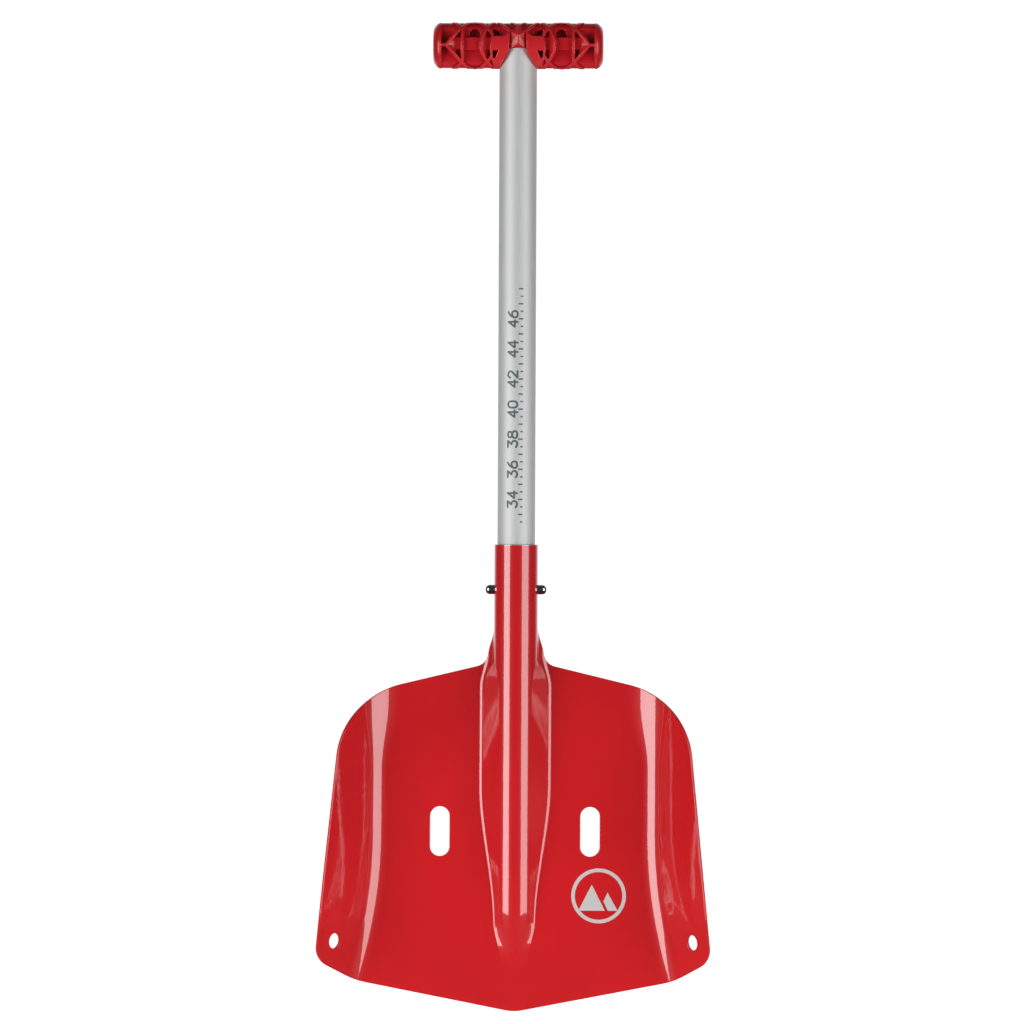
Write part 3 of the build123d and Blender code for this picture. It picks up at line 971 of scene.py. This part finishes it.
def number(z):
    """Strokes of the height z in centimetres, with round ends and joints, beside its tick."""
    strokes = []
    for place, digit in enumerate(str(z // 10)):
        start = z - NUMBER_HALF + DIGIT_PITCH * place
        for line in DIGITS[digit]:
            line = [(NUMBER_FOOT - DIGIT * v, start + DIGIT_WIDTH * u) for u, v in line]
            line = through(line, 3) if len(line) > 2 else line
            strokes += [ribbon(pair, STROKE) for pair in zip(line, line[1:])]
            strokes += [ring(x, z, STROKE / 2, 10) for x, z in line]
    return strokes


strokes = [tick(z) for z in range(SCALE_FROM, SCALE_TO + 1, TICK_EVERY)]
for height in range(FIRST_NUMBER, SCALE_TO, NUMBER_EVERY):
    strokes += number(height)
film("shaft_scale", strokes, [], on_shaft, DARK_INK, "shaft")


def on_panel(x, z):
    """Point and normal on the front of the scoop."""
    place, n, _ = sheet_front(run_to(x, z), z)
    return place, n


# Plain mark on the scoop: two peaks standing in a ring
MARK_X, MARK_Z, MARK_R, MARK_HALF_LINE = 56.0, 76.5, 17.0, 1.2
FRONT_PEAK = [(-13.4, -9.8), (-4.6, 7.4), (4.2, -9.8)]
BACK_PEAK = [(6.2, -9.8), (3.2, -3.6), (6.0, 2.2), (12.6, -9.8)]
outside, within = (ring(MARK_X, MARK_Z, MARK_R + side * MARK_HALF_LINE, 72) for side in (1, -1))
peaks = [[(MARK_X + x, MARK_Z + z) for x, z in peak] for peak in (FRONT_PEAK, BACK_PEAK)]
film("scoop_mark_ring", [outside], [within], on_panel, SILVER_INK, "blade")
film("scoop_mark_peaks", peaks, [], on_panel, SILVER_INK, "blade")

# ---------------------------------------------------------------- kept nodes

for node, finish in {
    "shaft_tube": ANODISED,
    "shaft_end_plug": BLACK_PLASTIC,
    "snap_spring": SPRING,
    "grip_pin": SPRING,
    "button_left": STEEL,
    "button_right": STEEL,
}.items():
    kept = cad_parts[node]
    for place in kept.material_slots:
        place.material = finish

# ---------------------------------------------------------------- studio

scene = bpy.context.scene
scene.view_settings.view_transform = "Standard"


LIT_POINT = (0, 0, 0.3)


def lamp(name, azimuth, elevation, distance, width, height, radiance):
    """Softbox that faces the lit point, in metres and degrees, azimuth measured from the front."""
    data = bpy.data.lights.new(name, "AREA")
    data.shape = "RECTANGLE"
    data.size, data.size_y = width, height
    data.energy = radiance * math.pi * width * height
    made = bpy.data.objects.new(name, data)
    a, e = math.radians(azimuth), math.radians(elevation)
    back = Vector((math.sin(a) * math.cos(e), -math.cos(a) * math.cos(e), math.sin(e)))
    made.location = Vector(LIT_POINT) + back * distance
    made.rotation_euler = back.to_track_quat("Z", "Y").to_euler()
    scene.collection.objects.link(made)


lamp("softbox_left", -48, 1, 1.6, 0.95, 1.35, 4.9)
lamp("softbox_right", 52, 1, 1.6, 1.10, 1.35, 3.6)

def studio_world():
    """World that lights from behind and is dark in front, and plain white to the camera."""
    world = bpy.data.worlds.new("studio")
    world.use_nodes = True
    nodes, links = world.node_tree.nodes, world.node_tree.links
    place = nodes.new("ShaderNodeTexCoord")
    split = nodes.new("ShaderNodeSeparateXYZ")
    links.new(place.outputs["Generated"], split.inputs["Vector"])
    brightness = spread(nodes, links, split.outputs["Y"], 0.05, 1.0, 0.55, 0.92)
    ray = nodes.new("ShaderNodeLightPath")
    strength = nodes.new("ShaderNodeMix")
    strength.inputs["B"].default_value = 1.05
    links.new(ray.outputs["Is Camera Ray"], strength.inputs["Factor"])
    links.new(brightness, strength.inputs["A"])
    nodes["Background"].inputs["Color"].default_value = (1, 1, 1, 1)
    links.new(strength.outputs["Result"], nodes["Background"].inputs["Strength"])
    return world


def pale_floor():
    """White floor that is dark in reflections, as if the shovel stood at the edge of a table."""
    made, nodes, links, shader = material("pale_floor")
    grain = noise(nodes, links, 8, 2)
    mottle(nodes, links, shader, grain, (0.88, 0.88, 0.88), (0.9, 0.9, 0.9))
    shader.inputs["Roughness"].default_value = 0.9
    shader.inputs["Emission Color"].default_value = (1, 1, 1, 1)
    shader.inputs["Emission Strength"].default_value = 0.9
    ray = nodes.new("ShaderNodeLightPath")
    dark = put(nodes, "ShaderNodeBsdfDiffuse", Color=(0.05, 0.05, 0.05, 1))
    either = nodes.new("ShaderNodeMixShader")
    links.new(ray.outputs["Is Glossy Ray"], either.inputs[0])
    links.new(shader.outputs["BSDF"], either.inputs[1])
    links.new(dark.outputs["BSDF"], either.inputs[2])
    links.new(either.outputs["Shader"], nodes["Material Output"].inputs["Surface"])
    return made


scene.world = studio_world()
# The floor's corners in millimetres. It ends close in front of the shovel and widens behind it.
corners = [(-450, -250, 0), (450, -250, 0), (1000, 4000, 0), (-1000, 4000, 0)]
floor = add_mesh("floor", corners, [(0, 1, 2, 3)], [pale_floor()])

# ---------------------------------------------------------------- camera

camera = bpy.data.objects.new("camera", bpy.data.cameras.new("camera"))
scene.collection.objects.link(camera)
scene.camera = camera
# In metres, and far enough away for the photo's flat perspective. The picture is VIEW wide at the aim.
AIM, DISTANCE, VIEW = Vector((-0.0029, AXIS_Y * MM, 0.3316)), 6.0, 0.6819
AZIMUTH, ROLL, SENSOR = math.radians(1.5), math.radians(0.25), 36.0
back = Vector((math.sin(AZIMUTH), -math.cos(AZIMUTH), 0))
camera.location = AIM + back * DISTANCE
look = (-back).to_track_quat("-Z", "Y").to_matrix() @ Matrix.Rotation(ROLL, 3, "Z")
camera.matrix_world = Matrix.Translation(camera.location) @ look.to_4x4()
camera.data.sensor_width = SENSOR
camera.data.lens = DISTANCE / VIEW * SENSOR
camera.data.clip_start, camera.data.clip_end = 0.1, 30.0
